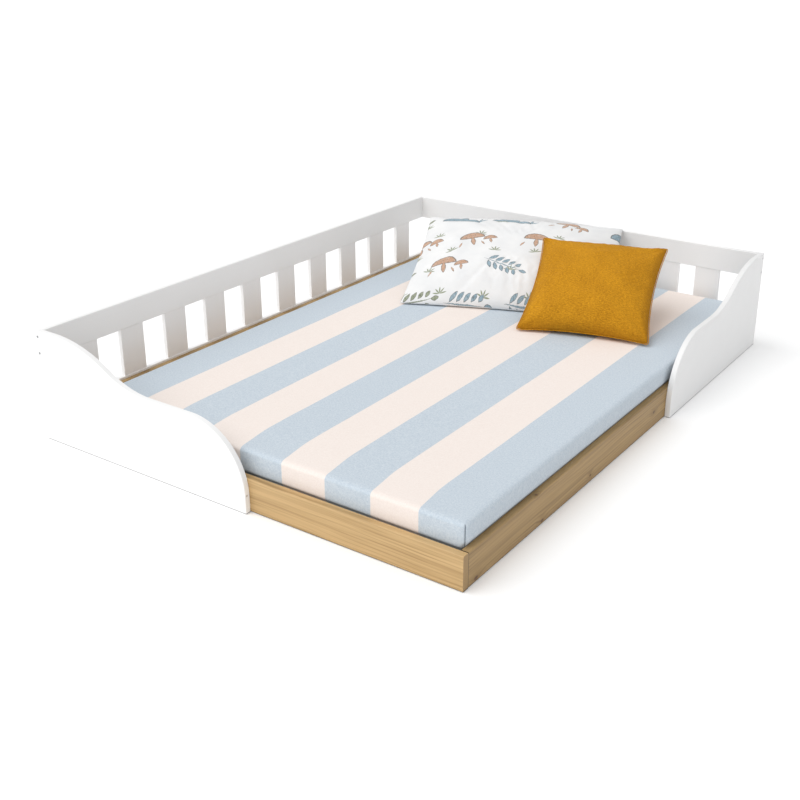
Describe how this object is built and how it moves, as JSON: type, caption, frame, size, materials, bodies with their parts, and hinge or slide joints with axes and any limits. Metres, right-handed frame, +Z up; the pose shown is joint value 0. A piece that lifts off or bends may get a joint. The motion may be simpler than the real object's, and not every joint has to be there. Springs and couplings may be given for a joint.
{
  "type": "toddler floor bed",
  "caption": "Low pine floor bed for a small child, with white slatted rails on two sides, S-curved guard panels, a striped mattress, a pillow and a square cushion.",
  "frame": {"origin": "on the floor below the middle of the bed's outline", "axes": "+X across the bed to its open side, +Y from the foot to the head, +Z up"},
  "size_m": [1.47, 1.97, 0.4],
  "materials": {
    "white_paint": "satin white paint on board",
    "pine": "clear matt varnish",
    "pine_base": "planed, unvarnished",
    "screw_steel": "zinc plated",
    "foam": "open foam",
    "striped_sheet": "woven cotton, blue and pale pink stripes",
    "filling": "fibre filling",
    "printed_case": "printed cotton",
    "mustard_cover": "slubbed linen weave"
  },
  "bodies": {
    "frame": {"foot_board": "pine", "head_board": "pine", "wall_side_board": "pine", "open_side_board": "pine", "corner_block_foot_wall": "pine_base", "corner_block_foot_open": "pine_base", "corner_block_head_wall": "pine_base", "corner_block_head_open": "pine_base", "wall_side_ledger": "pine_base", "open_side_ledger": "pine_base", "centre_beam": "pine_base", "base_slat_01": "pine_base", "base_slat_02": "pine_base", "base_slat_03": "pine_base", "base_slat_04": "pine_base", "base_slat_05": "pine_base", "base_slat_06": "pine_base", "base_slat_07": "pine_base", "base_slat_08": "pine_base", "base_slat_09": "pine_base", "base_slat_10": "pine_base", "base_slat_11": "pine_base", "base_slat_12": "pine_base", "base_slat_13": "pine_base", "wall_rail_top_board": "white_paint", "wall_rail_bottom_board": "white_paint", "head_rail_top_board": "white_paint", "head_rail_bottom_board": "white_paint", "wall_rail_slat_01": "white_paint", "wall_rail_slat_02": "white_paint", "wall_rail_slat_03": "white_paint", "wall_rail_slat_04": "white_paint", "wall_rail_slat_05": "white_paint", "wall_rail_slat_06": "white_paint", "wall_rail_slat_07": "white_paint", "wall_rail_slat_08": "white_paint", "wall_rail_slat_09": "white_paint", "wall_rail_slat_10": "white_paint", "head_rail_slat_01": "white_paint", "head_rail_slat_02": "white_paint", "head_rail_slat_03": "white_paint", "head_rail_slat_04": "white_paint", "head_rail_slat_05": "white_paint", "head_rail_slat_06": "white_paint", "head_rail_slat_07": "white_paint", "head_rail_slat_08": "white_paint", "foot_guard_panel": "white_paint", "side_guard_panel": "white_paint", "guard_panel_screws": "screw_steel", "corner_block_screws": "screw_steel", "ledger_screws": "screw_steel", "board_to_rail_screws": "screw_steel"},
    "mattress": {"mattress_core": "foam", "fitted_sheet": "striped_sheet"},
    "pillow": {"pillow_insert": "filling", "pillowcase": "printed_case"},
    "cushion": {"cushion_insert": "filling", "cushion_cover": "mustard_cover"}
  },
  "joints": [
    {"name": "mattress_lift", "type": "slide", "parent": "frame", "child": "mattress", "axis": [0, 0, 1], "range_m": [0, 0.3]},
    {"name": "pillow_lift", "type": "slide", "parent": "mattress", "child": "pillow", "axis": [0, 0, 1], "range_m": [0, 0.3]},
    {"name": "cushion_lift", "type": "slide", "parent": "pillow", "child": "cushion", "axis": [0, 0, 1], "range_m": [0, 0.3]}
  ]
}
